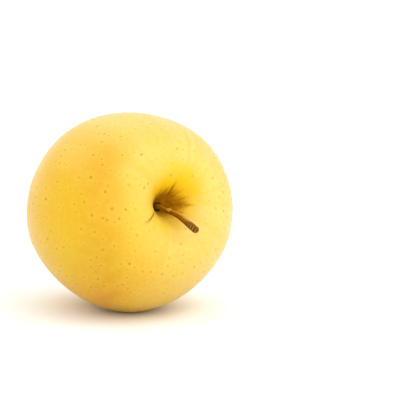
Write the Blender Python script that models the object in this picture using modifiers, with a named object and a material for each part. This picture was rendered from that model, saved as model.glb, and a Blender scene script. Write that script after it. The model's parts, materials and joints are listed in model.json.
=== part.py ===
"""A whole golden apple lying on its side, with its stem and its dried calyx.

The fruit is shaped in a frame of its own: Z runs up the core to the stem end, X
goes across, and the origin is half way up the core. An empty then lays it on
its flank, stem end a little raised, on a small flat spot at world Z = 0.
"""

import math

import bmesh
import bpy
from mathutils import Vector
from mathutils.geometry import interpolate_bezier

# Driving dimensions of the fruit, metres
RADIUS = 0.0375
HEIGHT = 0.0769
BELLY_DROP = 0.0316
SHOULDER_RADIUS = 0.0150
FOOT_RADIUS = 0.01125
CAVITY_DEPTH = 0.01275
THROAT_RADIUS = 0.0042
THROAT_DEPTH = 0.0088
THROAT_HEADING = (0.50, 0.86)
BASIN_DEPTH = 0.00975

# How full the curves of the half section are: each handle's share of the step it crosses
SHOULDER_FULL = 0.563
BELLY_FULL_ABOVE = 0.435
BELLY_FULL_BELOW = 0.459
FOOT_FULL = 0.331
CAVITY_ROLL = 0.373
BASIN_ROLL = 0.50

# Handle lengths down in the two hollows, metres
CAVITY_FLOOR_REACH = 0.0012
THROAT_REACH_BELOW = 0.0020
THROAT_REACH_ABOVE = 0.0042
BASIN_FLOOR_REACH = 0.0022

# How the fruit lies: the core's rise from level, and how deep its flank is flattened
LYING_RISE = math.radians(10.6)
FLAT_SINK = 0.0005

# The lobes of the flesh round the core: how many, their depth, and where one crests.
# Angles are measured about the core from +X, and the flank that lies down is at 270.
OVAL = (2, 0.0133, math.radians(1.9))
TRIANGLE = (3, 0.0109, math.radians(22.5))
LOBES = 5
LOBE_DEPTH = 0.0095
LOBE_CREST = math.radians(-26.2)
LOBE_STRENGTH_TOP = 0.45
LOBE_STRENGTH_GAIN = 1.1
FOOT_BUMP = 0.0006
FOOT_BUMP_WIDTH = 0.0060
SHOULDER_BUMP = 0.0003
SHOULDER_LEAN = 0.0003
SHOULDER_WIDTH = 0.0080

# One deep fold and soft ripples that run down into the stem cavity, and puckers in the basin
FOLD_ANGLE = math.radians(72.0)
FOLD_DEPTH = 0.0006
FOLD_WIDTH = 0.0009
RIPPLE_DEPTH = 0.00018
RIPPLE_RADIUS = 0.0062
PUCKER_DEPTH = 0.00025
PUCKER_RADIUS = 0.0060
HOLLOW_BAND = 0.0021

# The stem, in the fruit's frame: points up its middle and the radius at each
STEM_ROUTE = (
    ((0.0000, 0.0000, 0.0220), 0.00115),
    ((0.0000, 0.0000, 0.0262), 0.00115),
    ((0.0000, -0.0008, 0.0287), 0.00106),
    ((0.0002, -0.0019, 0.0317), 0.00099),
    ((0.0006, -0.0030, 0.0347), 0.00096),
    ((0.0010, -0.0043, 0.0377), 0.00096),
    ((0.0017, -0.0067, 0.0413), 0.00100),
    ((0.0024, -0.0091, 0.0445), 0.00121),
    ((0.0026, -0.0098, 0.0454), 0.00124),
    ((0.0027, -0.0101, 0.0458), 0.00108),
)
SOCKET_DEPTH = 0.0040

# The dried calyx in the basin at the foot
CALYX_RADIUS = 0.0026
CALYX_THICKNESS = 0.0016
POCKET_DEPTH = 0.0012
SEPALS = 5
SEPAL_LENGTH = 0.0070
SEPAL_WIDTH = 0.0026
SEPAL_THICKNESS = 0.0006
SEPAL_STRAY = math.radians(9.0)

CLEARANCE = 0.0003

# Fineness of the turned form
AROUND = 88
SPACING = 0.0027
FEWEST_STEPS = 5

SKIN_COLOUR = (0.88, 0.54, 0.03, 1.0)
STEM_COLOUR = (0.26, 0.12, 0.03, 1.0)
CALYX_COLOUR = (0.20, 0.13, 0.06, 1.0)

TOP = HEIGHT / 2
CAVITY_FLOOR = TOP - CAVITY_DEPTH
BASIN_FLOOR = -TOP + BASIN_DEPTH
SOCKET_RADIUS = STEM_ROUTE[0][1] + CLEARANCE
POCKET_RADIUS = CALYX_RADIUS + CLEARANCE

# Headings in the half section
OUT = (1, 0)
IN = (-1, 0)
DOWN = (0, -1)


def clear_scene():
    for old in list(bpy.data.objects):
        bpy.data.objects.remove(old, do_unlink=True)


def collection(name):
    made = bpy.data.collections.new(name)
    bpy.context.scene.collection.children.link(made)
    return made


def material(name, colour, roughness):
    made = bpy.data.materials.new(name)
    made.use_nodes = True
    shader = made.node_tree.nodes["Principled BSDF"]
    shader.inputs["Base Color"].default_value = colour
    shader.inputs["Roughness"].default_value = roughness
    shader.inputs["Metallic"].default_value = 0.0
    return made


def add_object(name, data, group):
    made = bpy.data.objects.new(name, data)
    group.objects.link(made)
    return made


def as_mesh(source, name):
    """Turn an object with its modifiers, or a curve, into a plain welded mesh object."""
    graph = bpy.context.evaluated_depsgraph_get()
    mesh = bpy.data.meshes.new_from_object(source.evaluated_get(graph))
    work = bmesh.new()
    work.from_mesh(mesh)
    bmesh.ops.remove_doubles(work, verts=work.verts, dist=1e-6)
    work.to_mesh(mesh)
    work.free()
    groups = list(source.users_collection)
    place = source.matrix_world.copy()
    bpy.data.objects.remove(source, do_unlink=True)
    made = add_object(name, mesh, groups[0])
    made.matrix_world = place
    return made


# Half section of the fruit

def stop(radius, height, heading, reach_in, reach_out):
    """A point that the outline passes, with the handles that it passes it on."""
    at = Vector((radius, 0.0, height))
    along = Vector((heading[0], 0.0, heading[1])).normalized()
    return at - along * reach_in, at, at + along * reach_out


def outline():
    """Points from the bottom of the stem's socket, over the flank, to the calyx's pocket."""
    shoulder_reach = RADIUS - SHOULDER_RADIUS
    foot_reach = RADIUS - FOOT_RADIUS
    foot_height = HEIGHT - BELLY_DROP
    throat = TOP - THROAT_DEPTH
    belly = TOP - BELLY_DROP
    stops = (
        stop(SOCKET_RADIUS, CAVITY_FLOOR, OUT, 0.0, CAVITY_FLOOR_REACH),
        stop(THROAT_RADIUS, throat, THROAT_HEADING, THROAT_REACH_BELOW, THROAT_REACH_ABOVE),
        stop(SHOULDER_RADIUS, TOP, OUT, CAVITY_ROLL * SHOULDER_RADIUS, SHOULDER_FULL * shoulder_reach),
        stop(RADIUS, belly, DOWN, BELLY_FULL_ABOVE * BELLY_DROP, BELLY_FULL_BELOW * foot_height),
        stop(FOOT_RADIUS, -TOP, IN, FOOT_FULL * foot_reach, BASIN_ROLL * FOOT_RADIUS),
        stop(POCKET_RADIUS, BASIN_FLOOR, IN, BASIN_FLOOR_REACH, 0.0),
    )
    points = [Vector((0.0, 0.0, CAVITY_FLOOR - SOCKET_DEPTH))]
    points.append(Vector((SOCKET_RADIUS, 0.0, CAVITY_FLOOR - SOCKET_DEPTH)))
    points.append(stops[0][1])
    for (_, start, leave), (arrive, end, _) in zip(stops, stops[1:]):
        length = (leave - start).length + (arrive - leave).length + (end - arrive).length
        count = max(FEWEST_STEPS, round(length / SPACING)) + 1
        points += interpolate_bezier(start, leave, arrive, end, count)[1:]
    points.append(Vector((POCKET_RADIUS, 0.0, BASIN_FLOOR + POCKET_DEPTH)))
    points.append(Vector((0.0, 0.0, BASIN_FLOOR + POCKET_DEPTH)))
    return points


# The uneven growth of the real fruit, laid over the turned form

def near(value, centre, width):
    """1 at the centre, falling softly to 0 a few widths away."""
    return math.exp(-((value - centre) / width) ** 2)


def swell(angle, rise):
    """Girth at this angle, with the lobes strongest towards the foot (rise 0)."""
    girth = 1.0
    for count, depth, crest in (OVAL, TRIANGLE):
        girth += depth * math.cos(count * (angle - crest))
    strength = LOBE_STRENGTH_TOP + LOBE_STRENGTH_GAIN * (1.0 - rise) ** 2
    return girth + LOBE_DEPTH * strength * math.cos(LOBES * (angle - LOBE_CREST))


def lift(radius, angle, height):
    """How far the surface stands above the turned form, along the core."""
    lobes = math.cos(LOBES * (angle - LOBE_CREST))
    if height < 0:
        basin = near(radius, PUCKER_RADIUS, HOLLOW_BAND)
        puckers = PUCKER_DEPTH * basin * math.cos(2 * LOBES * angle)
        return puckers - FOOT_BUMP * near(radius, FOOT_RADIUS, FOOT_BUMP_WIDTH) * lobes
    crest = near(radius, SHOULDER_RADIUS, SHOULDER_WIDTH)
    shoulder = SHOULDER_BUMP * lobes + SHOULDER_LEAN * math.cos(angle - FOLD_ANGLE)
    cavity = near(radius, RIPPLE_RADIUS, HOLLOW_BAND)
    aside = math.remainder(angle - FOLD_ANGLE, 2 * math.pi) * radius
    fold = FOLD_DEPTH * near(aside, 0.0, FOLD_WIDTH)
    ripple = RIPPLE_DEPTH * math.cos(2 * LOBES * (angle - LOBE_CREST))
    return crest * shoulder + cavity * (ripple - fold)


def grown(point):
    """Where the uneven fruit has this point of the turned form."""
    radius = math.hypot(point.x, point.y)
    angle = math.atan2(point.y, point.x)
    rise = min(1.0, max(0.0, point.z / HEIGHT + 0.5))
    girth = swell(angle, rise)
    return Vector((point.x * girth, point.y * girth, point.z + lift(radius, angle, point.z)))


def make_fruit(group):
    mesh = bpy.data.meshes.new("fruit outline")
    points = outline()
    mesh.from_pydata(points, [(i, i + 1) for i in range(len(points) - 1)], [])
    turned = add_object("fruit outline", mesh, group)
    screw = turned.modifiers.new("Turn", "SCREW")
    screw.axis = "Z"
    screw.steps = AROUND
    screw.render_steps = AROUND
    screw.use_merge_vertices = True
    screw.merge_threshold = 1e-5
    fruit = as_mesh(turned, "fruit")
    for vertex in fruit.data.vertices:
        vertex.co = grown(vertex.co)
    fruit.data.shade_smooth()
    return fruit


def centre_of_mass(mesh):
    mesh.calc_loop_triangles()
    volume = 0.0
    moment = Vector()
    for triangle in mesh.loop_triangles:
        a, b, c = (mesh.vertices[index].co for index in triangle.vertices)
        part = a.dot(b.cross(c)) / 6
        volume += part
        moment += part * (a + b + c) / 4
    return moment / volume


def lay_down(fruit, group):
    """An empty that turns the fruit's frame on its side, its weight over the origin."""
    rest = add_object("lying", None, group)
    rest.rotation_euler = (math.pi / 2 - LYING_RISE, 0.0, 0.0)
    turn = rest.rotation_euler.to_matrix()
    weight = turn @ centre_of_mass(fruit.data)
    lowest = min((turn @ vertex.co).z for vertex in fruit.data.vertices)
    rest.location = (-weight.x, -weight.y, -lowest - FLAT_SINK)
    return rest


def cut_flat(fruit, cutters):
    """Flatten the flank where the fruit rests, with a block that fills all below the table top."""
    side = 2 * HEIGHT
    mesh = bpy.data.meshes.new("table block")
    work = bmesh.new()
    bmesh.ops.create_cube(work, size=side)
    work.to_mesh(mesh)
    work.free()
    block = add_object("table block", mesh, cutters)
    block.location = (0.0, 0.0, -side / 2)
    block.hide_render = True
    block.display_type = "WIRE"
    cut = fruit.modifiers.new("Rest flat", "BOOLEAN")
    cut.operation = "DIFFERENCE"
    cut.object = block


def make_stem(group):
    curve = bpy.data.curves.new("stem", "CURVE")
    curve.dimensions = "3D"
    curve.bevel_depth = STEM_ROUTE[0][1]
    curve.bevel_resolution = 4
    curve.resolution_u = 4
    curve.use_fill_caps = True
    spline = curve.splines.new("BEZIER")
    spline.bezier_points.add(len(STEM_ROUTE) - 1)
    for knot, (place, radius) in zip(spline.bezier_points, STEM_ROUTE):
        knot.co = place
        knot.radius = radius / curve.bevel_depth
        knot.handle_left_type = "AUTO"
        knot.handle_right_type = "AUTO"
    stem = as_mesh(add_object("stem curve", curve, group), "stem")
    stem.data.shade_smooth()
    stem.data.set_sharp_from_angle(angle=math.radians(50))
    return stem


# The calyx: five withered sepals on a small woody disc

def sepal_point(along, across):
    """A point of a sepal that rises from the disc, closes in, then curls outwards."""
    out = 0.0019 - 0.0006 * math.sin(math.pi * along) + 0.0030 * along ** 3
    height = -SEPAL_LENGTH * math.sin(0.5 * math.pi * along)
    width = SEPAL_WIDTH * (1 - along) ** 0.7 * (1 - 0.25 * along)
    cup = 0.0004 * (1 - 4 * across * across) * (1 - along)
    return Vector((out + cup, across * width, height))


def make_sepal(name, index, group):
    """One withered sepal, turned a little off its fifth of the circle as they grow."""
    mesh = bpy.data.meshes.new(name)
    work = bmesh.new()
    bmesh.ops.create_grid(work, x_segments=7, y_segments=4, size=0.5)
    for vertex in work.verts:
        vertex.co = sepal_point(0.96 * (vertex.co.x + 0.5), vertex.co.y)
    bmesh.ops.recalc_face_normals(work, faces=work.faces)
    work.to_mesh(mesh)
    work.free()
    blade = add_object(name, mesh, group)
    stray = SEPAL_STRAY * math.sin(2.0 + 2.3 * index)
    blade.rotation_euler = (stray, 0.0, LOBE_CREST + stray + index * math.tau / SEPALS)
    wall = blade.modifiers.new("Blade", "SOLIDIFY")
    wall.thickness = SEPAL_THICKNESS
    wall.offset = 0.0
    return blade


def make_calyx(group):
    pieces = collection("calyx pieces")
    mesh = bpy.data.meshes.new("calyx disc")
    work = bmesh.new()
    bmesh.ops.create_cone(
        work,
        cap_ends=True,
        segments=20,
        radius1=CALYX_RADIUS * 0.8,
        radius2=CALYX_RADIUS,
        depth=CALYX_THICKNESS,
    )
    work.to_mesh(mesh)
    work.free()
    disc = add_object("calyx disc", mesh, group)
    for index in range(SEPALS):
        make_sepal(f"sepal {index}", index, pieces)
    join = disc.modifiers.new("Join", "BOOLEAN")
    join.operation = "UNION"
    join.operand_type = "COLLECTION"
    join.collection = pieces
    calyx = as_mesh(disc, "calyx")
    calyx.location.z = BASIN_FLOOR + POCKET_DEPTH - CLEARANCE - CALYX_THICKNESS / 2
    for piece in list(pieces.objects):
        bpy.data.objects.remove(piece, do_unlink=True)
    bpy.data.collections.remove(pieces)
    calyx.data.shade_smooth()
    calyx.data.set_sharp_from_angle(angle=math.radians(50))
    return calyx


def main():
    clear_scene()
    group = collection("golden apple")
    cutters = collection("cutters")
    fruit = make_fruit(group)
    stem = make_stem(group)
    calyx = make_calyx(group)
    fruit.data.materials.append(material("golden skin", SKIN_COLOUR, 0.38))
    stem.data.materials.append(material("stem wood", STEM_COLOUR, 0.6))
    calyx.data.materials.append(material("dry calyx", CALYX_COLOUR, 0.9))
    rest = lay_down(fruit, group)
    for piece in (fruit, stem, calyx):
        piece.parent = rest
    cut_flat(fruit, cutters)


main()
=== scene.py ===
import json
import math
from contextlib import contextmanager

import bmesh
import bpy
import numpy as np
from mathutils import Euler, Matrix, Vector
from mathutils.kdtree import KDTree

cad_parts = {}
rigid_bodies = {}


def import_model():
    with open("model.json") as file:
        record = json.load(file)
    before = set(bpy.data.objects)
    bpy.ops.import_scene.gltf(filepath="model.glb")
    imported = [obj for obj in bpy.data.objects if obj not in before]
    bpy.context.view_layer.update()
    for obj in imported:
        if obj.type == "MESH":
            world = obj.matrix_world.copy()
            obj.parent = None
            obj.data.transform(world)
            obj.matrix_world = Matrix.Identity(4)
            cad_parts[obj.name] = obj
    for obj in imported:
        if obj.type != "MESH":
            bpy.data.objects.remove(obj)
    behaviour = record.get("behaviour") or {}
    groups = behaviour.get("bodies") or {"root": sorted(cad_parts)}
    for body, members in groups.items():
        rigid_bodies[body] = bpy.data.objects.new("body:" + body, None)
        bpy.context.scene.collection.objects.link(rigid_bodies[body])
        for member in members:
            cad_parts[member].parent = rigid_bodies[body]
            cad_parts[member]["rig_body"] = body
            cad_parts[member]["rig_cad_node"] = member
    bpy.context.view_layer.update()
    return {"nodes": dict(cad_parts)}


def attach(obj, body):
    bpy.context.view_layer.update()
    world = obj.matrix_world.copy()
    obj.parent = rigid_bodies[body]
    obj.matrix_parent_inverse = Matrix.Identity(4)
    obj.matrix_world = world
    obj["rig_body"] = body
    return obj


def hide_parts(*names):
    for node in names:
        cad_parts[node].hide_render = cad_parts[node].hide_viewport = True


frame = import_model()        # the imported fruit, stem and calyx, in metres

bl_info = {
    "name": "Golden apple",
    "version": (1, 0, 0),
    "blender": (4, 5, 0),
    "location": "3D View > Sidebar > Fruit",
    "description": "Dresses a packed apple with waxy dotted skin, a woody stem and a dry calyx",
    "category": "Object",
}

MM = 0.001

# The fruit's own frame: Z up the core to the stem end, X across, origin half way up
CORE_RISE = math.radians(10.6)
STEM_FOOT = 22.0 * MM
CREST = 38.45 * MM
BELLY = 37.5 * MM
SOCKET_RIM = 25.7 * MM

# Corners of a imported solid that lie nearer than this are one
WELD = 0.001 * MM


def core_frame():
    """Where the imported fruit's core lies: the stem's foot stands on it, straight up the core."""
    turn = Euler((math.pi / 2 - CORE_RISE, 0.0, 0.0)).to_matrix()
    along = turn.col[2]
    corners = [vertex.co for vertex in frame["nodes"]["stem"].data.vertices]
    lowest = min(corner.dot(along) for corner in corners)
    foot = [corner for corner in corners if corner.dot(along) < lowest + 0.05 * MM]
    middle = sum(foot, Vector()) / len(foot) - along * STEM_FOOT
    return Matrix.Translation(middle) @ turn.to_4x4()


CORE = core_frame()


# Sizes and colours that a user would change

class SkinSettings(bpy.types.PropertyGroup):
    # Golden and lemon mix in soft clouds of the skin's own tone; the turn to lemon towards +X, +Y and
    # the stem end is a painted highlight
    golden: bpy.props.FloatVectorProperty(
        name="Golden", description="Skin on the sunny side", subtype="COLOR", size=4,
        default=(0.715, 0.425, 0.001, 1.0), min=0.0, max=1.0)
    lemon_and_highlight: bpy.props.FloatVectorProperty(
        name="Lemon", description="Skin on the shaded side", subtype="COLOR", size=4,
        default=(0.78, 0.525, 0.125, 1.0), min=0.0, max=1.0)
    # Deep gold down the stem cavity is partly painted shade
    deep_gold_and_shade: bpy.props.FloatVectorProperty(
        name="Deep gold", description="Skin down the stem cavity", subtype="COLOR", size=4,
        default=(0.80, 0.475, 0.0, 1.0), min=0.0, max=1.0)
    russet: bpy.props.FloatVectorProperty(
        name="Russet", description="Corky skin round the stem's foot", subtype="COLOR", size=4,
        default=(0.275, 0.095, 0.001, 1.0), min=0.0, max=1.0)
    # Painted shade: a deeper gold band over one shoulder, where less light falls
    painted_shade_band: bpy.props.FloatVectorProperty(
        name="Band", description="Deeper gold band over one shoulder", subtype="COLOR", size=4,
        default=(0.66, 0.335, 0.0, 1.0), min=0.0, max=1.0)
    unevenness: bpy.props.FloatProperty(
        name="Unevenness", description="Height of the soft swells of the flesh", unit="LENGTH",
        default=0.45 * MM, min=0.0, max=2 * MM)
    roughness: bpy.props.FloatProperty(
        name="Roughness", description="Roughness of the wax", default=0.33, min=0.0, max=1.0)


class DotSettings(bpy.types.PropertyGroup):
    count: bpy.props.IntProperty(
        name="Count", description="Corky dots all over the skin", default=1000, min=0, max=2000)
    radius: bpy.props.FloatProperty(
        name="Radius", description="Radius of a common dot", unit="LENGTH",
        default=0.58 * MM, min=0.05 * MM, max=1 * MM)
    largest: bpy.props.FloatProperty(
        name="Largest", description="Radius of the largest dot", unit="LENGTH",
        default=0.85 * MM, min=0.05 * MM, max=2 * MM)
    gap: bpy.props.FloatProperty(
        name="Gap", description="Least distance between two dots", unit="LENGTH",
        default=2.2 * MM, min=0.0, max=10 * MM)
    seed: bpy.props.IntProperty(name="Seed", description="Picks the pattern", default=7)


class StemSettings(bpy.types.PropertyGroup):
    bark: bpy.props.FloatVectorProperty(
        name="Bark", description="Paler fibres of the bark", subtype="COLOR", size=4,
        default=(0.30, 0.125, 0.0015, 1.0), min=0.0, max=1.0)
    # A painted highlight on the stem's upper side, also laid on its lump
    sunny: bpy.props.FloatVectorProperty(
        name="Sunny", description="Bleached upper side", subtype="COLOR", size=4,
        default=(0.62, 0.30, 0.05, 1.0), min=0.0, max=1.0)
    # Darker fibres, and painted shade on the stem's lower side
    shade: bpy.props.FloatVectorProperty(
        name="Dark bark", description="Darker fibres, and the shaded side", subtype="COLOR", size=4,
        default=(0.12, 0.035, 0.001, 1.0), min=0.0, max=1.0)
    scar: bpy.props.FloatVectorProperty(
        name="Scar", description="Ridges of the broken end", subtype="COLOR", size=4,
        default=(0.42, 0.23, 0.08, 1.0), min=0.0, max=1.0)
    groove: bpy.props.FloatProperty(
        name="Groove depth", description="Depth of the bark's grooves", unit="LENGTH",
        default=0.14 * MM, min=0.0, max=1 * MM)


class CalyxSettings(bpy.types.PropertyGroup):
    dry: bpy.props.FloatVectorProperty(
        name="Dry", description="Withered sepals", subtype="COLOR", size=4,
        default=(0.17, 0.10, 0.045, 1.0), min=0.0, max=1.0)
    down: bpy.props.FloatVectorProperty(
        name="Down", description="Pale hairs on the sepals", subtype="COLOR", size=4,
        default=(0.50, 0.42, 0.28, 1.0), min=0.0, max=1.0)
    threads: bpy.props.IntProperty(
        name="Threads", description="Dried stamens in the middle", default=14, min=0, max=60)
    seed: bpy.props.IntProperty(name="Seed", description="Picks the bends", default=3)


class StageSettings(bpy.types.PropertyGroup):
    lens: bpy.props.FloatProperty(
        name="Lens", description="Focal length in millimetres", default=100.0, min=20.0)
    azimuth: bpy.props.FloatProperty(
        name="Azimuth", description="Camera's turn round the fruit", subtype="ANGLE",
        default=math.radians(-33.5))
    elevation: bpy.props.FloatProperty(
        name="Elevation", description="Camera's height above level", subtype="ANGLE",
        default=math.radians(7.0))
    distance: bpy.props.FloatProperty(
        name="Distance", description="From the camera to the fruit's middle", unit="LENGTH",
        default=0.419, min=0.1)
    room: bpy.props.FloatProperty(
        name="Room", description="Brightness of the room all round", default=0.60, min=0.0)
    cove: bpy.props.FloatProperty(
        name="Cove", description="What the white cove at eye level adds", default=0.42, min=0.0)
    window: bpy.props.FloatProperty(
        name="Window", description="What a window far back on the left adds", default=0.58, min=0.0)
    ceiling: bpy.props.FloatProperty(
        name="Ceiling", description="What the ceiling adds", default=0.42, min=0.0)
    wall: bpy.props.FloatProperty(
        name="Wall light", description="Brightness of the wide box on the right", default=0.9, min=0.0)
    key: bpy.props.FloatProperty(
        name="Key light", description="Brightness of the small box high on the right",
        default=1.0, min=0.0)
    fill: bpy.props.FloatProperty(
        name="Fill light", description="Brightness of the box behind the camera", default=0.77, min=0.0)


# Ways to model

def select_only(piece):
    """Leave nothing else selected, and make the piece the active one."""
    bpy.ops.object.select_all(action="DESELECT")
    piece.select_set(True)
    bpy.context.view_layer.objects.active = piece


@contextmanager
def editing(piece):
    """Edit mode on one piece, with all of it selected to begin with."""
    select_only(piece)
    bpy.ops.object.mode_set(mode="EDIT")
    bpy.ops.mesh.select_all(action="SELECT")
    yield
    bpy.ops.object.mode_set(mode="OBJECT")


def finish_with(piece, kind, **settings):
    """Give the piece one modifier and apply it."""
    select_only(piece)
    change = piece.modifiers.new(kind.title(), kind)
    for name, value in settings.items():
        setattr(change, name, value)
    bpy.ops.object.modifier_apply(modifier=change.name)


def packed_copy(node, name):
    """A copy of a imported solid, welded and in quads, to be worked on."""
    piece = frame["nodes"][node].copy()
    piece.data = piece.data.copy()
    piece.name = name
    piece.parent = None
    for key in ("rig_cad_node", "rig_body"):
        del piece[key]
    bpy.context.scene.collection.objects.link(piece)
    piece.data.materials.clear()
    with editing(piece):
        bpy.ops.mesh.customdata_custom_splitnormals_clear()
        bpy.ops.mesh.remove_doubles(threshold=WELD)
        bpy.ops.mesh.mark_sharp(clear=True)
        bpy.ops.mesh.tris_convert_to_quads()
    return piece


def clouds(name, size, depth=2):
    """A soft noise for a modifier to push the surface by, its lumps of this size."""
    texture = bpy.data.textures.new(name, "CLOUDS")
    texture.noise_scale = size
    texture.noise_depth = depth
    return texture


def points_of(piece):
    """The piece's corners in the fruit's own frame, as an array."""
    places = np.empty(len(piece.data.vertices) * 3)
    piece.data.vertices.foreach_get("co", places)
    home = np.array(CORE.inverted())
    return places.reshape(-1, 3) @ home[:3, :3].T + home[:3, 3]


def move_to(piece, places):
    """Put the piece's corners at these points of the fruit's own frame."""
    out = np.array(CORE)
    moved = places @ out[:3, :3].T + out[:3, 3]
    piece.data.vertices.foreach_set("co", moved.ravel())
    piece.data.update()


def joined(pieces, name):
    """Make one piece of several new ones."""
    bpy.ops.object.select_all(action="DESELECT")
    for piece in pieces:
        piece.select_set(True)
    bpy.context.view_layer.objects.active = pieces[0]
    bpy.ops.object.join()
    whole = bpy.context.object
    whole.name = name
    return whole


def mark(piece, name, values):
    """Keep one number for each corner, for the materials to read."""
    layer = piece.data.attributes.new(name, "FLOAT", "POINT")
    layer.data.foreach_set("value", np.asarray(values, dtype=np.float32))


def hand_over(piece, slot, *nodes):
    """Shade smooth, set the piece on the frame's root body, and hide the imported parts it stands in
    for.
    """
    select_only(piece)
    bpy.ops.object.shade_smooth()
    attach(piece, "root")
    if nodes:
        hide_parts(*nodes)


# Ways to make a finish

class Nodes:
    """Short ways to add nodes to a tree and to join them."""

    def __init__(self, tree):
        self.tree = tree

    def add(self, kind, **settings):
        node = self.tree.nodes.new("ShaderNode" + kind)
        for name, value in settings.items():
            setattr(node, name, value)
        return node

    def feed(self, socket, value):
        if isinstance(value, bpy.types.NodeSocket):
            self.tree.links.new(value, socket)
        else:
            socket.default_value = value

    def maths(self, operation, first, second=0.0):
        node = self.add("Math", operation=operation)
        self.feed(node.inputs[0], first)
        self.feed(node.inputs[1], second)
        return node.outputs[0]

    def total(self, *values):
        result = values[0]
        for value in values[1:]:
            result = self.maths("ADD", result, value)
        return result

    def times(self, *values):
        result = values[0]
        for value in values[1:]:
            result = self.maths("MULTIPLY", result, value)
        return result

    def wander(self, noise, span):
        """A noise made to swing evenly to both sides of 0, span wide in all."""
        return self.times(self.maths("SUBTRACT", noise, 0.5), span)

    def rise(self, value, low, high):
        """0 below low, 1 above high, and a smooth slope between; high may be the lower one."""
        node = self.add("MapRange", interpolation_type="SMOOTHSTEP")
        self.feed(node.inputs["Value"], value)
        self.feed(node.inputs["From Min"], low)
        self.feed(node.inputs["From Max"], high)
        return node.outputs["Result"]

    def vector(self, x, y, z):
        node = self.add("CombineXYZ")
        for socket, value in zip(node.inputs, (x, y, z)):
            self.feed(socket, value)
        return node.outputs[0]

    def split(self, vector):
        node = self.add("SeparateXYZ")
        self.feed(node.inputs[0], vector)
        return node.outputs

    def length(self, vector):
        node = self.add("VectorMath", operation="LENGTH")
        self.feed(node.inputs[0], vector)
        return node.outputs["Value"]

    def facing(self, way_seen, way):
        """How far the direction seen lies along this way, from -1 to 1."""
        node = self.add("VectorMath", operation="DOT_PRODUCT")
        self.feed(node.inputs[0], way_seen)
        self.feed(node.inputs[1], way.normalized())
        return node.outputs["Value"]

    def noise(self, place, scale, detail=2.0, seed=0.0):
        node = self.add("TexNoise", noise_dimensions="4D")
        self.feed(node.inputs["Vector"], place)
        self.feed(node.inputs["W"], seed)
        self.feed(node.inputs["Scale"], scale)
        self.feed(node.inputs["Detail"], detail)
        return node.outputs[0]

    def cells(self, place, scale):
        node = self.add("TexVoronoi")
        self.feed(node.inputs["Vector"], place)
        self.feed(node.inputs["Scale"], scale)
        return node.outputs["Distance"]

    def blend(self, share, first, second, how="MIX"):
        node = self.add("Mix", data_type="RGBA", blend_type=how)
        self.feed(node.inputs[0], share)
        self.feed(node.inputs[6], first)
        self.feed(node.inputs[7], second)
        return node.outputs[2]

    def mark(self, name):
        """The number kept for each corner under this name."""
        return self.add("Attribute", attribute_name=name).outputs["Fac"]

    def towards(self, head_x, head_y, heading):
        """1 where this part of the fruit faces the heading, down to -1 where it faces away."""
        return self.total(
            self.times(head_x, math.cos(heading)), self.times(head_y, math.sin(heading)))


class Recipe(Nodes):
    """A material, made of nodes."""

    def __init__(self, name):
        self.material = bpy.data.materials.new(name)
        self.material.use_nodes = True
        super().__init__(self.material.node_tree)
        self.shader = self.tree.nodes["Principled BSDF"]

    def surface(self, **values):
        for name, value in values.items():
            self.feed(self.shader.inputs[name.replace("_", " ")], value)

    def relief(self, height, depth, under=None):
        node = self.add("Bump")
        self.feed(node.inputs["Height"], height)
        self.feed(node.inputs["Distance"], depth)
        if under:
            self.feed(node.inputs["Normal"], under)
        return node.outputs[0]

    def core_place(self):
        """The point in the fruit's own frame."""
        spot = self.add("TexCoord").outputs["Object"]
        turn = self.add("Mapping", vector_type="TEXTURE")
        self.feed(turn.inputs["Vector"], spot)
        turn.inputs["Location"].default_value = CORE.translation
        turn.inputs["Rotation"].default_value = CORE.to_euler()
        return turn.outputs[0]


# The skin

# The band of painted shade lies where a flat cut through the fruit, square to this way, meets its skin
PAINTED_SHADE_BAND_WAY = (0.83, -0.10, 0.54)
PAINTED_SHADE_BAND_OFFSET = 4.2 * MM

# Creases in the stem cavity, in millimetres across the core: inner end, outer end, width and
# depth, and then how dark each is stained
CAVITY_CREASES = (
    ((-5.8, -1.9), (-13.4, -6.3), 0.36, 0.26, 1.3),
    ((2.2, 3.2), (2.8, 8.2), 0.34, 0.45, 1.0),
    ((3.0, 0.2), (9.6, -1.1), 0.46, 0.22, 0.6),
    ((3.2, 1.3), (8.0, 2.6), 0.36, 0.16, 0.3),
    ((2.8, 2.4), (6.0, 5.6), 0.36, 0.14, 0.3),
    ((-1.6, 3.4), (-2.6, 7.0), 0.40, 0.16, 0.4),
)

# Which way from the core the russet leans, reaches out a tongue, and draws back to a lip
RUSSET_HEADING = math.radians(36)
TONGUE_HEADING = math.radians(-8)
LIP_HEADING = math.radians(185)
RUSSET_REACH = 4.4 * MM
RAY_SPAN = 3.4 * MM

# How far out each tint of the cavity and the basin starts, and how far in it is full
DEEP_GOLD_AND_SHADE_MIDDLE = (2.6 * MM, 4.4 * MM)
DEEP_GOLD_AND_SHADE_EDGES = (13.0 * MM, 4.5 * MM)
OLIVE_EDGES = (6.8 * MM, 4.2 * MM)
PAINTED_LIGHT_EDGES = (12.0 * MM, 7.0 * MM)
THROAT_EDGES = (2.6 * MM, 0.8 * MM)
BASIN_EDGES = (11.0 * MM, 4.0 * MM)

# Colours that the skin's own are mixed with
STREAK_GOLD = (0.75, 0.38, 0.002, 1.0)
FLECK_BROWN = (0.46, 0.30, 0.01, 1.0)
HALO_GOLD = (0.76, 0.55, 0.06, 1.0)
CAVITY_OLIVE = (0.52, 0.37, 0.0, 1.0)
# Painted light on the lower-left wall of the stem cavity
CAVITY_PAINTED_LIGHT = (0.80, 0.58, 0.05, 1.0)
CORK_TAN = (0.43, 0.18, 0.002, 1.0)
THROAT_BROWN = (0.32, 0.13, 0.003, 1.0)
CRACK_BROWN = (0.26, 0.10, 0.006, 1.0)
BASIN_GREEN = (0.62, 0.46, 0.03, 1.0)
SCURF_BROWN = (0.34, 0.20, 0.06, 1.0)

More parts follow.
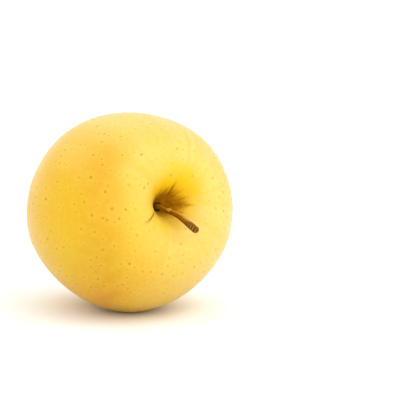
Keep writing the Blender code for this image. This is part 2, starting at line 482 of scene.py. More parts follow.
# Shades that the skin's colours are multiplied by
MOTTLE_SHADE = (0.955, 0.94, 0.92, 1.0)
SPECKLE_SHADE = (0.945, 0.93, 0.90, 1.0)
# Painted shade on the underside
UNDERSIDE_PAINTED_SHADE = (0.92, 0.955, 1.0, 1.0)
LOW_FLANK_TINT = (0.95, 0.82, 0.5, 1.0)
DOT_EDGE = (0.95, 0.94, 0.92, 1.0)
FAINT_DOT = (0.95, 0.93, 0.86, 1.0)
DARK_DOT = (0.62, 0.52, 0.30, 1.0)

# The tint of the shine on wax, down the cavity, where it is partly painted shade over the reflections,
# on cork and on the dots
WAX_GLINT = (1.0, 0.90, 0.60, 1.0)
CAVITY_GLINT_AND_SHADE = (1.0, 0.75, 0.25, 1.0)
CORK_GLINT = (0.5, 0.28, 0.02, 1.0)
DOT_GLINT = (1.0, 0.88, 0.45, 1.0)

# How fine each pattern is, in lumps for each metre
DRIFT_GRAIN = 26
PAINTED_SHADE_BAND_GRAIN = 60
LOW_FLANK_GRAIN = 95
WISP_GRAIN = 260
SWELL_GRAIN = 420
FLECK_GRAIN = 460
SCURF_GRAIN = 520
CORK_GRAIN = 700
MOTTLE_GRAIN = 760
EDGE_GRAIN = 900
SPECKLE_GRAIN = 1250
DOT_GRAIN = 3000


def crease_share(places, crease):
    """How deep in a crease each point lies, from 0 to 1."""
    inner, outer = Vector(crease[0]) * MM, Vector(crease[1]) * MM
    way = (outer - inner).normalized()
    length = (outer - inner).length
    across = places[:, :2] - np.array(inner)
    along = across @ np.array(way)
    aside = across @ np.array((-way.y, way.x))
    ends = np.clip(along / (0.8 * MM), 0, 1) * np.clip((length - along) / (0.4 * length), 0, 1)
    return ends * np.exp(-(aside / (crease[2] * MM)) ** 2) * (places[:, 2] > 0)


def gold_to_lemon(recipe, place, settings):
    """The skin's colour: gold that turns to lemon in soft clouds and, as a painted highlight, towards
    +X, +Y and the stem end, with a band of painted shade, painted shade underneath and a deeper orange
    low on one flank.
    """
    x, y, z = recipe.split(place)
    # The lean towards +X, +Y and the stem end is a painted highlight; the noise is the skin's own cloudy
    # tone
    drift = recipe.total(
        recipe.times(recipe.noise(place, DRIFT_GRAIN, 2), 0.6),
        recipe.times(x, 0.28 / BELLY),
        recipe.times(y, 0.12 / BELLY),
        recipe.times(z, 0.15 / CREST),
    )
    colour = recipe.blend(recipe.rise(drift, 0.10, 0.65), tuple(settings.golden), tuple(settings.lemon_and_highlight))
    # Painted shade: a deeper gold band where less light falls
    off_painted_shade_band = recipe.total(
        PAINTED_SHADE_BAND_OFFSET,
        recipe.times(x, PAINTED_SHADE_BAND_WAY[0]),
        recipe.times(y, PAINTED_SHADE_BAND_WAY[1]),
        recipe.times(z, PAINTED_SHADE_BAND_WAY[2]),
        recipe.wander(recipe.noise(place, PAINTED_SHADE_BAND_GRAIN, 3, 2.5), 8 * MM),
    )
    painted_shade_band = recipe.times(
        recipe.rise(recipe.maths("ABSOLUTE", off_painted_shade_band), 13 * MM, 0.0),
        recipe.rise(z, -12 * MM, 8 * MM),
        recipe.rise(y, 30 * MM, 15 * MM),
    )
    colour = recipe.blend(recipe.times(painted_shade_band, 0.8), colour, tuple(settings.painted_shade_band))

    # Painted shade makes the underside deeper, and low on one flank the colour turns deeper and more
    # orange
    depth = recipe.total(recipe.times(x, -0.2), recipe.times(y, -0.95))
    colour = recipe.blend(recipe.rise(depth, 7 * MM, 27 * MM), colour, UNDERSIDE_PAINTED_SHADE, "MULTIPLY")
    uneven = recipe.wander(recipe.noise(place, LOW_FLANK_GRAIN, 2, 4.0), 12 * MM)
    low_flank_orange = recipe.times(
        recipe.rise(recipe.total(uneven, recipe.times(y, -1.0)), 19 * MM, 30 * MM),
        recipe.rise(x, -8 * MM, -20 * MM),
    )
    return recipe.blend(recipe.times(low_flank_orange, 0.85), colour, LOW_FLANK_TINT, "MULTIPLY")


def skin_finish(settings):
    """Waxy skin, with its streaks and specks, painted highlight and shade, the tints of its two hollows,
    partly painted shade and light in the stem cavity, and the russet.
    """
    recipe = Recipe("waxy skin")
    place = recipe.core_place()
    x, y, z = recipe.split(place)
    flat = recipe.vector(x, y, 0.0)
    radius = recipe.length(flat)
    heading = recipe.add("VectorMath", operation="NORMALIZE")
    recipe.feed(heading.inputs[0], flat)
    head_x, head_y, _ = recipe.split(heading.outputs[0])
    stem_end = recipe.rise(z, 0.0, 10 * MM)
    colour = gold_to_lemon(recipe, place, settings)

    # Faint streaks run from stem to foot
    lengthwise = recipe.vector(
        recipe.times(head_x, 5.0), recipe.times(head_y, 5.0), recipe.times(z, 14.0))
    streak = recipe.rise(recipe.noise(lengthwise, 1.6, 4), 0.38, 0.70)
    colour = recipe.blend(recipe.times(streak, 0.30), colour, STREAK_GOLD)

    # Fine specks, and a halo round each dot
    mottle = recipe.noise(place, MOTTLE_GRAIN, 2, 5.0)
    colour = recipe.blend(recipe.rise(mottle, 0.35, 0.75), colour, MOTTLE_SHADE, "MULTIPLY")
    speckle = recipe.noise(place, SPECKLE_GRAIN, 3)
    colour = recipe.blend(recipe.rise(speckle, 0.45, 0.75), colour, SPECKLE_SHADE, "MULTIPLY")
    fleck = recipe.rise(recipe.cells(place, FLECK_GRAIN), 0.13, 0.07)
    colour = recipe.blend(recipe.times(fleck, 0.28), colour, FLECK_BROWN)
    colour = recipe.blend(recipe.times(recipe.mark("halo"), 0.20), colour, HALO_GOLD)

    # Down the stem cavity the gold deepens, partly as painted shade; one side turns olive, and the
    # lower-left wall is paler with painted light
    middle_x, middle_y = DEEP_GOLD_AND_SHADE_MIDDLE
    off_core = recipe.vector(recipe.total(x, -middle_x), recipe.total(y, -middle_y), 0.0)
    wisp = recipe.wander(recipe.noise(place, WISP_GRAIN, 3, 1.5), 6.0 * MM)
    spread = recipe.total(recipe.length(off_core), wisp)
    cavity_gold_and_shade = recipe.times(recipe.rise(spread, *DEEP_GOLD_AND_SHADE_EDGES), stem_end)
    colour = recipe.blend(recipe.times(cavity_gold_and_shade, 0.9), colour, tuple(settings.deep_gold_and_shade))
    olive_side = recipe.total(recipe.times(head_y, 0.8), recipe.times(head_x, -0.5))
    olive = recipe.times(
        recipe.rise(radius, *OLIVE_EDGES), stem_end, recipe.rise(olive_side, 0.25, 0.9))
    colour = recipe.blend(recipe.times(olive, 0.7), colour, CAVITY_OLIVE)
    # Painted light: the lower-left wall of the cavity is painted paler
    painted_light_side = recipe.total(recipe.times(head_y, -0.75), recipe.times(head_x, -0.75))
    pale = recipe.times(
        recipe.rise(radius, *PAINTED_LIGHT_EDGES), stem_end, recipe.rise(painted_light_side, 0.2, 0.8))
    colour = recipe.blend(recipe.times(pale, 0.8), colour, CAVITY_PAINTED_LIGHT)

    # Brown russet fans out in rays from the stem's foot
    fan = recipe.vector(recipe.times(head_x, 3.0), recipe.times(head_y, 3.0), recipe.times(z, 60.0))
    ray = recipe.noise(fan, 3.0, 3, 1.0)
    lean = recipe.towards(head_x, head_y, RUSSET_HEADING)
    tongue = recipe.rise(recipe.towards(head_x, head_y, TONGUE_HEADING), 0.78, 1.0)
    lip = recipe.rise(recipe.towards(head_x, head_y, LIP_HEADING), 0.5, 0.95)
    reach = recipe.total(
        RUSSET_REACH,
        recipe.times(lean, 1.7 * MM),
        recipe.times(tongue, 1.2 * MM),
        recipe.times(lip, -0.7 * MM),
        recipe.wander(ray, RAY_SPAN),
    )
    near = recipe.maths("SUBTRACT", reach, radius)
    rough_edge = recipe.wander(recipe.noise(place, EDGE_GRAIN, 3), 2.0 * MM)
    cork = recipe.times(recipe.rise(recipe.total(near, rough_edge), -1.8 * MM, 2.0 * MM), stem_end)
    cork_grain = recipe.rise(recipe.noise(place, CORK_GRAIN, 4), 0.35, 0.7)
    cork_colour = recipe.blend(cork_grain, tuple(settings.russet), CORK_TAN)
    cork_colour = recipe.blend(recipe.rise(radius, *THROAT_EDGES), cork_colour, THROAT_BROWN)
    colour = recipe.blend(recipe.times(cork, 0.92), colour, cork_colour)
    crack = recipe.maths("MINIMUM", recipe.times(recipe.mark("crease"), 0.8), 0.9)
    colour = recipe.blend(crack, colour, CRACK_BROWN)

    # The basin round the calyx stays greener and a little corky
    foot_end = recipe.rise(z, -24 * MM, -29 * MM)
    basin = recipe.times(recipe.rise(radius, *BASIN_EDGES), foot_end)
    colour = recipe.blend(recipe.times(basin, 0.55), colour, BASIN_GREEN)
    scurf = recipe.times(basin, recipe.rise(recipe.noise(place, SCURF_GRAIN, 4, 2.0), 0.52, 0.66))
    colour = recipe.blend(recipe.times(scurf, 0.65), colour, SCURF_BROWN)

    # Wax shines, and cork is dull
    corky = recipe.maths("MAXIMUM", cork, recipe.times(scurf, 0.7))
    roughness = recipe.total(settings.roughness, recipe.times(corky, 0.38), recipe.times(speckle, 0.06))
    swells = recipe.relief(recipe.noise(place, SWELL_GRAIN, 3), 0.05 * MM)
    grain = recipe.relief(recipe.total(speckle, recipe.times(cork, speckle)), 0.012 * MM, swells)
    # Down the cavity the shine takes a darker tint, painted shade over the reflections
    glint = recipe.blend(cavity_gold_and_shade, WAX_GLINT, CAVITY_GLINT_AND_SHADE)
    glint = recipe.blend(corky, glint, CORK_GLINT)
    recipe.surface(
        Base_Color=colour,
        Roughness=roughness,
        IOR=1.5,
        Specular_IOR_Level=0.50,
        Specular_Tint=glint,
        Normal=grain,
    )
    return recipe.material


def dot_finish(settings):
    """The skin's colour, with its painted highlight and shade, darker towards the middle of each dot."""
    recipe = Recipe("corky dots")
    place = recipe.core_place()
    skin_colour = gold_to_lemon(recipe, place, settings)
    grain = recipe.noise(place, DOT_GRAIN, 2)
    heart = recipe.blend(recipe.mark("tone"), FAINT_DOT, DARK_DOT)
    inner = recipe.times(recipe.mark("heart"), recipe.rise(grain, 0.1, 0.4))
    shade = recipe.blend(inner, DOT_EDGE, heart)
    recipe.surface(
        Base_Color=recipe.blend(1.0, skin_colour, shade, "MULTIPLY"),
        Roughness=0.5,
        Specular_IOR_Level=0.35,
        Specular_Tint=DOT_GLINT,
        Normal=recipe.relief(grain, 0.02 * MM),
    )
    return recipe.material


class FRUIT_OT_skin(bpy.types.Operator):
    """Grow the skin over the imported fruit: smooth it, swell it and crease its cavity"""
    bl_idname = "fruit.skin"
    bl_label = "Skin"

    def execute(self, context):
        settings = context.scene.fruit_skin
        skin = packed_copy("fruit", "skin")
        finish_with(skin, "SUBSURF", levels=2, render_levels=2)
        finish_with(
            skin, "DISPLACE", texture=clouds("swells", 17 * MM, 1), texture_coords="LOCAL",
            strength=settings.unevenness, mid_level=0.5)
        places = points_of(skin)
        creased = np.zeros(len(places))
        for crease in CAVITY_CREASES:
            share = crease_share(places, crease)
            places[:, 2] -= share * crease[3] * MM
            creased = np.maximum(creased, share * crease[4])
        move_to(skin, places)
        mark(skin, "crease", creased)
        for vertex in skin.data.vertices:
            vertex.co.z = max(vertex.co.z, 0.0)
        skin.data.materials.append(skin_finish(settings))
        hand_over(skin, "skin", "fruit")
        return {"FINISHED"}


# The corky dots that fruit breathes through

# No dots lie this near the core beyond this height, at the stem end or the foot, nor this low down
BARE_CAVITY = 9.5 * MM
BARE_BASIN = 5.0 * MM
BARE_ENDS = 0.6 * CREST
BARE_SPOT = 1.0 * MM


def scatter(skin, settings):
    """Places on the skin with the way outward at each, no two too close, and the draw to go on with."""
    draw = np.random.RandomState(settings.seed)
    faces = skin.data.polygons
    areas = np.empty(len(faces))
    faces.foreach_get("area", areas)
    chosen = draw.choice(len(faces), settings.count * 4, p=areas / areas.sum())
    home = CORE.inverted()
    kept = []
    for index in chosen:
        centre = faces[index].center
        place = home @ centre
        bare = BARE_CAVITY if place.z > 0 else BARE_BASIN
        if math.hypot(place.x, place.y) < bare and abs(place.z) > BARE_ENDS:
            continue
        if centre.z < BARE_SPOT:
            continue
        gap = settings.gap * draw.uniform(0.6, 1.9)
        if any((centre - other).length < gap for other, _ in kept):
            continue
        kept.append((centre.copy(), faces[index].normal.copy()))
        if len(kept) == settings.count:
            break
    return kept, draw


def model_dot():
    """One low round scab of radius 1, its rim turned down."""
    bpy.ops.object.select_all(action="DESELECT")
    bpy.ops.mesh.primitive_circle_add(vertices=9, radius=1.0, fill_type="NGON")
    dot = bpy.context.object
    dot.name = "dot model"
    with editing(dot):
        bpy.ops.mesh.inset(thickness=0.30)
        bpy.ops.mesh.inset(thickness=0.35)
        bpy.ops.mesh.poke()
    reach = np.array([math.hypot(v.co.x, v.co.y) for v in dot.data.vertices])
    for vertex, out in zip(dot.data.vertices, reach):
        vertex.co.z = 0.10 - 0.20 * out ** 3
    mark(dot, "heart", np.clip(1.15 - reach ** 2, 0, 1))
    return dot


class FRUIT_OT_dots(bpy.types.Operator):
    """Scatter the small corky dots over the skin, with a pale halo round each"""
    bl_idname = "fruit.dots"
    bl_label = "Dots"

    def execute(self, context):
        settings = context.scene.fruit_dots
        skin = bpy.data.objects["skin"]
        kept, draw = scatter(skin, settings)
        model = model_dot()
        nearest = KDTree(len(kept))
        copies = []
        sizes = []
        for number, (centre, outward) in enumerate(kept):
            size = min(settings.largest, settings.radius * math.exp(0.38 * draw.standard_normal()))
            tone = float(np.clip(draw.normal(0.33, 0.20), 0.04, 0.80))
            squash = draw.uniform(0.75, 1.0)
            spin = Matrix.Rotation(draw.uniform(0, math.tau), 4, "Z")
            turn = outward.to_track_quat("Z", "Y").to_matrix().to_4x4() @ spin
            copy = model.copy()
            copy.data = model.data.copy()
            copy.data.transform(Matrix.Diagonal((size, size * squash, size, 1.0)))
            copy.data.transform(Matrix.Translation(centre) @ turn)
            mark(copy, "tone", [tone] * len(copy.data.vertices))
            bpy.context.scene.collection.objects.link(copy)
            copies.append(copy)
            nearest.insert(centre, number)
            sizes.append(size)
        nearest.balance()
        bpy.data.objects.remove(model, do_unlink=True)
        dots = joined(copies, "dots")
        dots.data.materials.append(dot_finish(context.scene.fruit_skin))
        halo = []
        for vertex in skin.data.vertices:
            _, number, distance = nearest.find(vertex.co)
            halo.append(math.exp(-(distance / (2.4 * sizes[number] + 0.3 * MM)) ** 2))
        mark(skin, "halo", halo)
        hand_over(dots, "skin")
        return {"FINISHED"}


# The stem

# Points up the middle of the stem, across and up the core, in millimetres
STEM_LINE = (
    (0.0, 0.0, 22.0),
    (0.0, 0.0, 26.2),
    (0.0, -0.8, 28.7),
    (0.2, -1.9, 31.7),
    (0.6, -3.0, 34.7),
    (1.0, -4.3, 37.7),
    (1.7, -6.7, 41.3),
    (2.4, -9.1, 44.5),
    (2.7, -10.1, 45.8),
)

# Which way round the stem its lump, its side with the painted highlight, its side with painted shade and
# its streaked side lie
LUMP_HEADING = math.radians(110)
PAINTED_HIGHLIGHT_HEADING = math.radians(78)
PAINTED_SHADE_HEADING = math.radians(235)
STREAK_HEADING = math.radians(180)

# How far up the stem the lump sits, how long and how high it is, in millimetres
LUMP_PLACE = 11.2
LUMP_LENGTH = 1.1
LUMP_HEIGHT = 0.32

# From one pale streak on the knob to the next, in millimetres
STREAK_STEP = 1.15

# The grooves: how many round the stem, where the first lies, their twist and their share
GROOVES = ((3, 0.4, 0.05, 0.5), (7, 1.9, -0.09, 0.3), (13, 0.8, 0.12, 0.2))

# What the bark adds to the radius at each distance up the stem, and how its end sags, in millimetres
TAPER_PLACES = (3, 9, 13, 17, 21, 24, 25.5)
TAPER = (-0.34, -0.26, -0.05, 0.08, 0.14, 0.18, 0.04)
SAG_PLACES = (18, 25)
SAG = (0.0, 0.2)

# Ridges of the broken end: how far in from the last one and how high, in millimetres
END_RIDGES = ((0.22, 0.0), (0.18, -0.16), (0.14, 0.12), (0.16, -0.16), (0.12, -0.08))
END_RADIUS = 1.25 * MM
RING_RADIUS = 0.66 * MM
PIT_RADIUS = 0.36 * MM

# Colours that the bark's own are mixed with, and the tint of its shine
FOOT_OLIVE = (0.36, 0.20, 0.008, 1.0)
KNOB_BROWN = (0.10, 0.032, 0.001, 1.0)
END_BROWN = (0.12, 0.04, 0.001, 1.0)
PIT_BROWN = (0.05, 0.018, 0.003, 1.0)
BARK_GLINT = (1.0, 0.60, 0.05, 1.0)


def stem_finish(settings):
    """Dry bark, coloured by which way each spot faces from the stem's middle, which paints a highlight
    on the upper side and shade below, and by how far up it is.
    """
    recipe = Recipe("stem bark")
    around = recipe.add("Attribute", attribute_name="round").outputs["Vector"]
    side_x, side_y, along = recipe.split(around)

    # Long fibres, with a painted highlight on the upper side and painted shade below
    thread = recipe.vector(side_x, side_y, recipe.times(along, 0.18))
    fibre = recipe.noise(thread, 5.0, 4)
    colour = recipe.blend(recipe.rise(fibre, 0.30, 0.62), tuple(settings.shade), tuple(settings.bark))
    # Painted highlight on the upper side of the stem
    sunny = recipe.rise(recipe.towards(side_x, side_y, PAINTED_HIGHLIGHT_HEADING), 0.62, 0.92)
    sunny = recipe.times(sunny, recipe.rise(fibre, 0.25, 0.50))
    colour = recipe.blend(recipe.times(sunny, 0.85), colour, tuple(settings.sunny))
    # Painted shade on the lower side of the stem
    painted_shade_side = recipe.rise(recipe.towards(side_x, side_y, PAINTED_SHADE_HEADING), -0.10, 0.75)
    colour = recipe.blend(recipe.times(painted_shade_side, 0.7), colour, tuple(settings.shade))

    # A painted highlight on the lump, and an olive tint towards the foot
    off_lump = recipe.maths("ABSOLUTE", recipe.total(along, -LUMP_PLACE))
    lump = recipe.times(
        recipe.rise(off_lump, 1.7, 0.5),
        recipe.rise(recipe.towards(side_x, side_y, LUMP_HEADING), 0.35, 0.85),
    )
    colour = recipe.blend(recipe.times(lump, 0.75), colour, tuple(settings.sunny))
    foot = recipe.times(recipe.rise(along, 11.0, 6.0), recipe.rise(fibre, 0.35, 0.55))
    colour = recipe.blend(recipe.times(foot, 0.7), colour, FOOT_OLIVE)

    # The knob at the end is darker, with pale streaks across one side
    knob = recipe.rise(recipe.total(along, recipe.times(fibre, 2.0)), 22.6, 24.2)
    colour = recipe.blend(recipe.times(knob, 0.75), colour, KNOB_BROWN)
    slant = recipe.total(along, recipe.times(side_x, 0.35), recipe.times(fibre, 0.9))
    wrinkle = recipe.maths("SINE", recipe.times(slant, math.tau / STREAK_STEP))
    bright = recipe.times(
        recipe.rise(wrinkle, 0.3, 0.95),
        recipe.rise(along, 22.6, 23.6),
        recipe.rise(recipe.towards(side_x, side_y, STREAK_HEADING), 0.35, 0.85),
    )
    colour = recipe.blend(recipe.times(bright, 0.85), colour, tuple(settings.scar))
    colour = recipe.blend(recipe.times(recipe.mark("face"), 0.9), colour, END_BROWN)
    colour = recipe.blend(recipe.times(recipe.mark("scar"), 0.55), colour, tuple(settings.scar))
    colour = recipe.blend(recipe.times(recipe.mark("pit"), 0.9), colour, PIT_BROWN)
    recipe.surface(
        Base_Color=colour,
        Roughness=recipe.total(0.36, recipe.times(fibre, 0.25)),
        Specular_IOR_Level=0.2,
        Specular_Tint=BARK_GLINT,
        Normal=recipe.relief(fibre, 0.06 * MM),
    )
    return recipe.material


def round_the_stem(places):
    """For each corner: which way it lies from the stem's middle, how far up, and how far out."""
    line = np.array(STEM_LINE) * MM
    pieces = [np.linspace(start, end, 24, endpoint=False) for start, end in zip(line, line[1:])]
    steps = np.concatenate(pieces + [line[-1:]])
    lengths = np.concatenate([[0.0], np.cumsum(np.linalg.norm(np.diff(steps, axis=0), axis=1))])
    ahead = np.gradient(steps, axis=0)
    ahead /= np.linalg.norm(ahead, axis=1)[:, None]
    nearest = np.argmin(((places[:, None, :] - steps[None]) ** 2).sum(2), axis=1)
    off = places - steps[nearest]
    off -= ahead[nearest] * (off * ahead[nearest]).sum(1)[:, None]
    aside = np.cross(ahead[nearest], np.array((1.0, 0.0, 0.0)))
    aside /= np.linalg.norm(aside, axis=1)[:, None]
    across = np.cross(aside, ahead[nearest])
    out = np.linalg.norm(off, axis=1)
    angle = np.arctan2((off * aside).sum(1), (off * across).sum(1))
    return angle, lengths[nearest] / MM, out, off


def grooved(stem, depth):
    """Press shallow grooves along the bark, and note where each corner is for the finish."""
    places = points_of(stem)
    angle, along, out, off = round_the_stem(places)
    groove = np.zeros(len(places))
    for count, phase, twist, share in GROOVES:
        groove += share * np.cos(count * angle + phase + twist * along * (1 + 0.3 * np.sin(along / 2.1)))
    lump = np.exp(-((along - LUMP_PLACE) / LUMP_LENGTH) ** 2)
    lump *= np.clip(np.cos(angle - LUMP_HEADING), 0, 1) ** 2
    side = np.clip(out / (0.8 * MM), 0, 1) ** 4
    thicker = np.interp(along, TAPER_PLACES, TAPER) + LUMP_HEIGHT * lump
    push = side * (depth * groove + MM * thicker)
    places += off / np.maximum(out, 0.05 * MM)[:, None] * push[:, None]
    places[:, 2] -= MM * np.interp(along, SAG_PLACES, SAG)
    move_to(stem, places)
    layer = stem.data.attributes.new("round", "FLOAT_VECTOR", "POINT")
    values = np.stack([np.cos(angle), np.sin(angle), along], axis=1)
    layer.data.foreach_set("vector", values.astype(np.float32).ravel())


class FRUIT_OT_stem(bpy.types.Operator):
    """Groove the stem's bark, ring its broken end and seat its foot in the flesh"""
    bl_idname = "fruit.stem"
    bl_label = "Stem"

    def execute(self, context):
        settings = context.scene.fruit_stem
        stem = packed_copy("stem", "stem_bark")
        self.ring_end(stem)
        finish_with(stem, "SUBSURF", levels=3, render_levels=3)
        grooved(stem, settings.groove)
        self.seat(stem)
        stem.data.materials.append(stem_finish(settings))
        hand_over(stem, "stem_wood", "stem")
        return {"FINISHED"}

    def seat(self, stem):
        """Widen the foot to fill the socket in the flesh."""
        places = points_of(stem)
        sunk = np.clip((SOCKET_RIM + 0.8 * MM - places[:, 2]) / (1.2 * MM), 0, 1)
        places[:, :2] *= (1 + 0.26 * sunk)[:, None]
        move_to(stem, places)

    def ring_end(self, stem):
        """Turn the flat end into ridges round a pit, and mark them for the finish."""
        home = CORE.inverted()
        with editing(stem):
            bpy.ops.mesh.select_all(action="DESELECT")
            work = bmesh.from_edit_mesh(stem.data)
            work.faces.ensure_lookup_table()
            centres = [home @ face.calc_center_median() for face in work.faces]
            top = max(centre.z for centre in centres)
            near = [face for face, centre in zip(work.faces, centres) if centre.z > top - 1.5 * MM]
            way = max(near, key=lambda face: face.calc_area()).normal.copy()
            for face in near:
                face.select = face.normal.dot(way) > 0.995
            bmesh.update_edit_mesh(stem.data)
            bpy.ops.mesh.dissolve_faces()
            for width, height in END_RIDGES:
                bpy.ops.mesh.inset(thickness=width * MM, depth=height * MM)
            work = bmesh.from_edit_mesh(stem.data)
            pit = next(face for face in work.faces if face.select)
            centre = pit.calc_center_median()
            normal = pit.normal.copy()
        reach = []
        for vertex in stem.data.vertices:
            offset = vertex.co - centre
            height = offset.dot(normal)
            reach.append((offset - normal * height).length if abs(height) < 0.5 * MM else 1.0)
        reach = np.array(reach)
        mark(stem, "face", np.clip((END_RADIUS - reach) / (0.2 * MM), 0, 1))
        mark(stem, "scar", np.exp(-((reach - RING_RADIUS) / (0.10 * MM)) ** 2))
        mark(stem, "pit", np.exp(-(reach / PIT_RADIUS) ** 2))


# The calyx

WITHERED_TAN = (0.36, 0.24, 0.11, 1.0)
LOWER_GREEN = (0.16, 0.15, 0.04, 1.0)
SEPAL_GRAIN = 900
DOWN_GRAIN = 2600

# The stamens: each thread's size, how far off the core and how high it stands, and its bends
THREAD_LENGTH = 3.6 * MM
THREAD_RADIUS = 0.09 * MM
THREAD_SPREAD = 0.75 * MM
THREAD_LEVEL = -30.6 * MM
THREAD_BEND = 0.9 * MM
THREAD_WAVE = 0.35 * MM


def calyx_finish(settings):
    """Withered leaf with pale down, greener where it grows out of the fruit."""
    recipe = Recipe("dry calyx")
    place = recipe.core_place()
    z = recipe.split(place)[2]
    tone = recipe.noise(place, SEPAL_GRAIN, 4)
    colour = recipe.blend(recipe.rise(tone, 0.35, 0.7), tuple(settings.dry), WITHERED_TAN)
    colour = recipe.blend(recipe.rise(z, -31.0 * MM, -28.8 * MM), colour, LOWER_GREEN)
    down = recipe.rise(recipe.noise(place, DOWN_GRAIN, 2, 2.0), 0.55, 0.72)
    colour = recipe.blend(recipe.times(down, 0.7), colour, tuple(settings.down))
    recipe.surface(Base_Color=colour, Roughness=0.85, Normal=recipe.relief(tone, 0.12 * MM))
    return recipe.material


class FRUIT_OT_calyx(bpy.types.Operator):
    """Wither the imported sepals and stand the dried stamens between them"""
    bl_idname = "fruit.calyx"
    bl_label = "Calyx"

    def execute(self, context):
        settings = context.scene.fruit_calyx
        sepals = packed_copy("calyx", "calyx_sepals")
        finish_with(sepals, "REMESH", mode="VOXEL", voxel_size=0.11 * MM)
        finish_with(sepals, "SMOOTH", factor=0.5, iterations=4)
        finish_with(
            sepals, "DISPLACE", texture=clouds("wrinkles", 0.9 * MM, 2), texture_coords="LOCAL",
            strength=0.5 * MM, mid_level=0.5)
        finish_with(sepals, "DECIMATE", ratio=0.5)
        finish = calyx_finish(settings)
        sepals.data.materials.clear()
        sepals.data.materials.append(finish)
        hand_over(sepals, "dry_calyx", "calyx")
        self.stamens(settings, finish)
        return {"FINISHED"}

    def stamens(self, settings, finish):
        """A ring of bent threads, each with a swollen tip."""
        draw = np.random.RandomState(settings.seed)
        threads = []
        for number in range(settings.threads):
            angle = number * math.tau / settings.threads + draw.uniform(-0.2, 0.2)
            bpy.ops.object.select_all(action="DESELECT")
            bpy.ops.mesh.primitive_cylinder_add(vertices=7, radius=THREAD_RADIUS, depth=THREAD_LENGTH)
            thread = bpy.context.object
            with editing(thread):
                bpy.ops.mesh.subdivide(number_cuts=5)
            for vertex in thread.data.vertices:
                up = vertex.co.z / THREAD_LENGTH + 0.5
                swollen = 1 + 1.4 * math.exp(-((up - 0.93) / 0.08) ** 2)
                vertex.co.x = vertex.co.x * swollen + THREAD_BEND * up ** 2
                vertex.co.y = vertex.co.y * swollen + THREAD_WAVE * math.sin(5 * up + number)
            stand = Vector((math.cos(angle), math.sin(angle), 0.0)) * THREAD_SPREAD
            stand.z = THREAD_LEVEL
            turn = Matrix.Rotation(angle, 4, "Z")
            flip = Matrix.Rotation(math.pi, 4, "X")
            thread.data.transform(CORE @ Matrix.Translation(stand) @ turn @ flip)
            threads.append(thread)
        stamens = joined(threads, "calyx_stamens")
        stamens.matrix_world = Matrix.Identity(4)
        stamens.data.materials.append(finish)
        hand_over(stamens, "dry_calyx")


# The white studio

# Where the fruit's middle stands in the picture, counted from its top left corner
FRUIT_PIXEL = (122.8, 211.9)
PICTURE = 400
SENSOR = 36.0

WHITE = (1.0, 1.0, 1.0, 1.0)
FLOOR_WHITE = (0.94, 0.94, 0.94, 1.0)
FLOOR_RADIUS = 80.0
BOX_DISTANCE = 0.9

# Each soft box: the way to it as the camera sees it (right, up, ahead), and its size in metres
WALL_LIGHT = ((0.80, 0.45, -0.40), (1.86, 1.17))
KEY_LIGHT = ((0.5, 0.7, -0.5), (0.6, 0.6))
FILL_LIGHT = ((-0.15, 0.35, -1.0), (0.8, 0.8))
WINDOW_WAY = (-0.6, 0.65, 0.5)
CEILING_WAY = (0.0, 1.0, 0.0)

# How high above level, as a sine, the white cove ends and begins to fade
COVE_EDGES = (0.35, 0.06)


def camera_axes(settings):
    """Directions to the camera's right, up and ahead."""
    turn, rise = settings.azimuth, settings.elevation
    ahead = Vector((-math.sin(turn) * math.cos(rise), math.cos(turn) * math.cos(rise), -math.sin(rise)))
    right = Vector((math.cos(turn), math.sin(turn), 0.0))
    return right, right.cross(ahead), ahead


def way_from_camera(settings, shares):
    """The direction that goes this far to the camera's right, up and ahead."""
    return sum((axis * share for axis, share in zip(camera_axes(settings), shares)), Vector())


def add_camera(settings):
    right, up, ahead = camera_axes(settings)
    pixel_angle = SENSOR / settings.lens / PICTURE
    across = (FRUIT_PIXEL[0] - PICTURE / 2) * pixel_angle
    down = (FRUIT_PIXEL[1] - PICTURE / 2) * pixel_angle
    to_fruit = (ahead + right * across - up * down) * settings.distance
    bpy.ops.object.camera_add(location=CORE.translation - to_fruit)
    camera = bpy.context.object
    camera.name = "camera"
    camera.data.lens = settings.lens
    camera.data.sensor_width = SENSOR
    camera.rotation_euler = Matrix((right, up, -ahead)).transposed().to_euler()
    camera.data.clip_start = 0.01
    bpy.context.scene.camera = camera


def soft_box(name, settings, box, brightness):
    """A flat white light of this brightness, standing off the fruit and facing it."""
    shares, size = box
    way = way_from_camera(settings, shares)
    place = CORE.translation + way.normalized() * BOX_DISTANCE
    bpy.ops.object.light_add(type="AREA", location=place)
    light = bpy.context.object
    light.name = name
    light.rotation_euler = way.to_track_quat("Z", "Y").to_euler()
    light.data.shape = "RECTANGLE"
    light.data.size, light.data.size_y = size
    light.data.energy = brightness * math.pi * size[0] * size[1]


def white_room(settings):
    """An even pale room with a white cove at eye level, a far window and a bright ceiling."""
    world = bpy.data.worlds.new("white room")
    bpy.context.scene.world = world
    world.use_nodes = True
    room = Nodes(world.node_tree)
    way_seen = room.add("TexCoord").outputs["Generated"]
    height = room.maths("ABSOLUTE", room.facing(way_seen, Vector((0.0, 0.0, 1.0))))
    brightness = room.total(settings.room, room.times(room.rise(height, *COVE_EDGES), settings.cove))
    for shares, strength in ((WINDOW_WAY, settings.window), (CEILING_WAY, settings.ceiling)):
        glow = room.rise(room.facing(way_seen, way_from_camera(settings, shares)), 0.2, 1.0)
        brightness = room.total(brightness, room.times(glow, strength))
    background = room.tree.nodes["Background"]
    room.feed(background.inputs["Color"], WHITE)
    room.feed(background.inputs["Strength"], brightness)


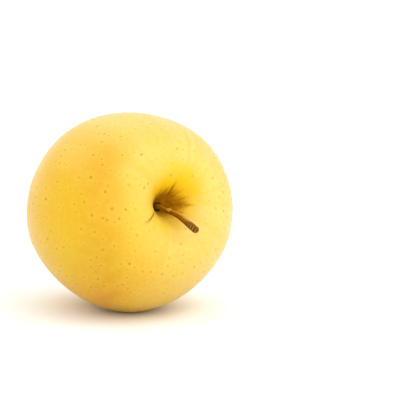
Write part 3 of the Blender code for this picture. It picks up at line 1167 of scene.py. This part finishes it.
class FRUIT_OT_stage(bpy.types.Operator):
    """Set the pale floor, the white room, the soft boxes and the camera"""
    bl_idname = "fruit.stage"
    bl_label = "Stage"

    def execute(self, context):
        settings = context.scene.fruit_stage
        bpy.ops.object.select_all(action="DESELECT")
        bpy.ops.mesh.primitive_circle_add(vertices=64, radius=FLOOR_RADIUS, fill_type="NGON")
        floor = bpy.context.object
        floor.name = "floor"
        recipe = Recipe("white floor")
        recipe.surface(Base_Color=FLOOR_WHITE, Roughness=0.9, Specular_IOR_Level=0.0)
        floor.data.materials.append(recipe.material)
        white_room(settings)
        soft_box("wall light", settings, WALL_LIGHT, settings.wall)
        soft_box("key light", settings, KEY_LIGHT, settings.key)
        soft_box("fill light", settings, FILL_LIGHT, settings.fill)
        add_camera(settings)
        context.scene.view_settings.view_transform = "Standard"
        return {"FINISHED"}


class FRUIT_PT_panel(bpy.types.Panel):
    """The pieces of the fruit, in the order they are made"""
    bl_label = "Golden apple"
    bl_idname = "FRUIT_PT_panel"
    bl_space_type = "VIEW_3D"
    bl_region_type = "UI"
    bl_category = "Fruit"

    def draw(self, context):
        for operator, group in STEPS:
            box = self.layout.box()
            box.operator(operator.bl_idname)
            settings = getattr(context.scene, group)
            for name in settings.__annotations__:
                box.prop(settings, name)


SETTINGS = {
    "fruit_skin": SkinSettings,
    "fruit_dots": DotSettings,
    "fruit_stem": StemSettings,
    "fruit_calyx": CalyxSettings,
    "fruit_stage": StageSettings,
}
STEPS = (
    (FRUIT_OT_skin, "fruit_skin"),
    (FRUIT_OT_dots, "fruit_dots"),
    (FRUIT_OT_stem, "fruit_stem"),
    (FRUIT_OT_calyx, "fruit_calyx"),
    (FRUIT_OT_stage, "fruit_stage"),
)


def register():
    for group, kind in SETTINGS.items():
        bpy.utils.register_class(kind)
        setattr(bpy.types.Scene, group, bpy.props.PointerProperty(type=kind))
    for operator, _ in STEPS:
        bpy.utils.register_class(operator)
    bpy.utils.register_class(FRUIT_PT_panel)


def unregister():
    bpy.utils.unregister_class(FRUIT_PT_panel)
    for operator, _ in reversed(STEPS):
        bpy.utils.unregister_class(operator)
    for group, kind in SETTINGS.items():
        delattr(bpy.types.Scene, group)
        bpy.utils.unregister_class(kind)


def main():
    register()
    bpy.ops.fruit.skin()
    bpy.ops.fruit.dots()
    bpy.ops.fruit.stem()
    bpy.ops.fruit.calyx()
    bpy.ops.fruit.stage()


if __name__ == "__main__":
    main()
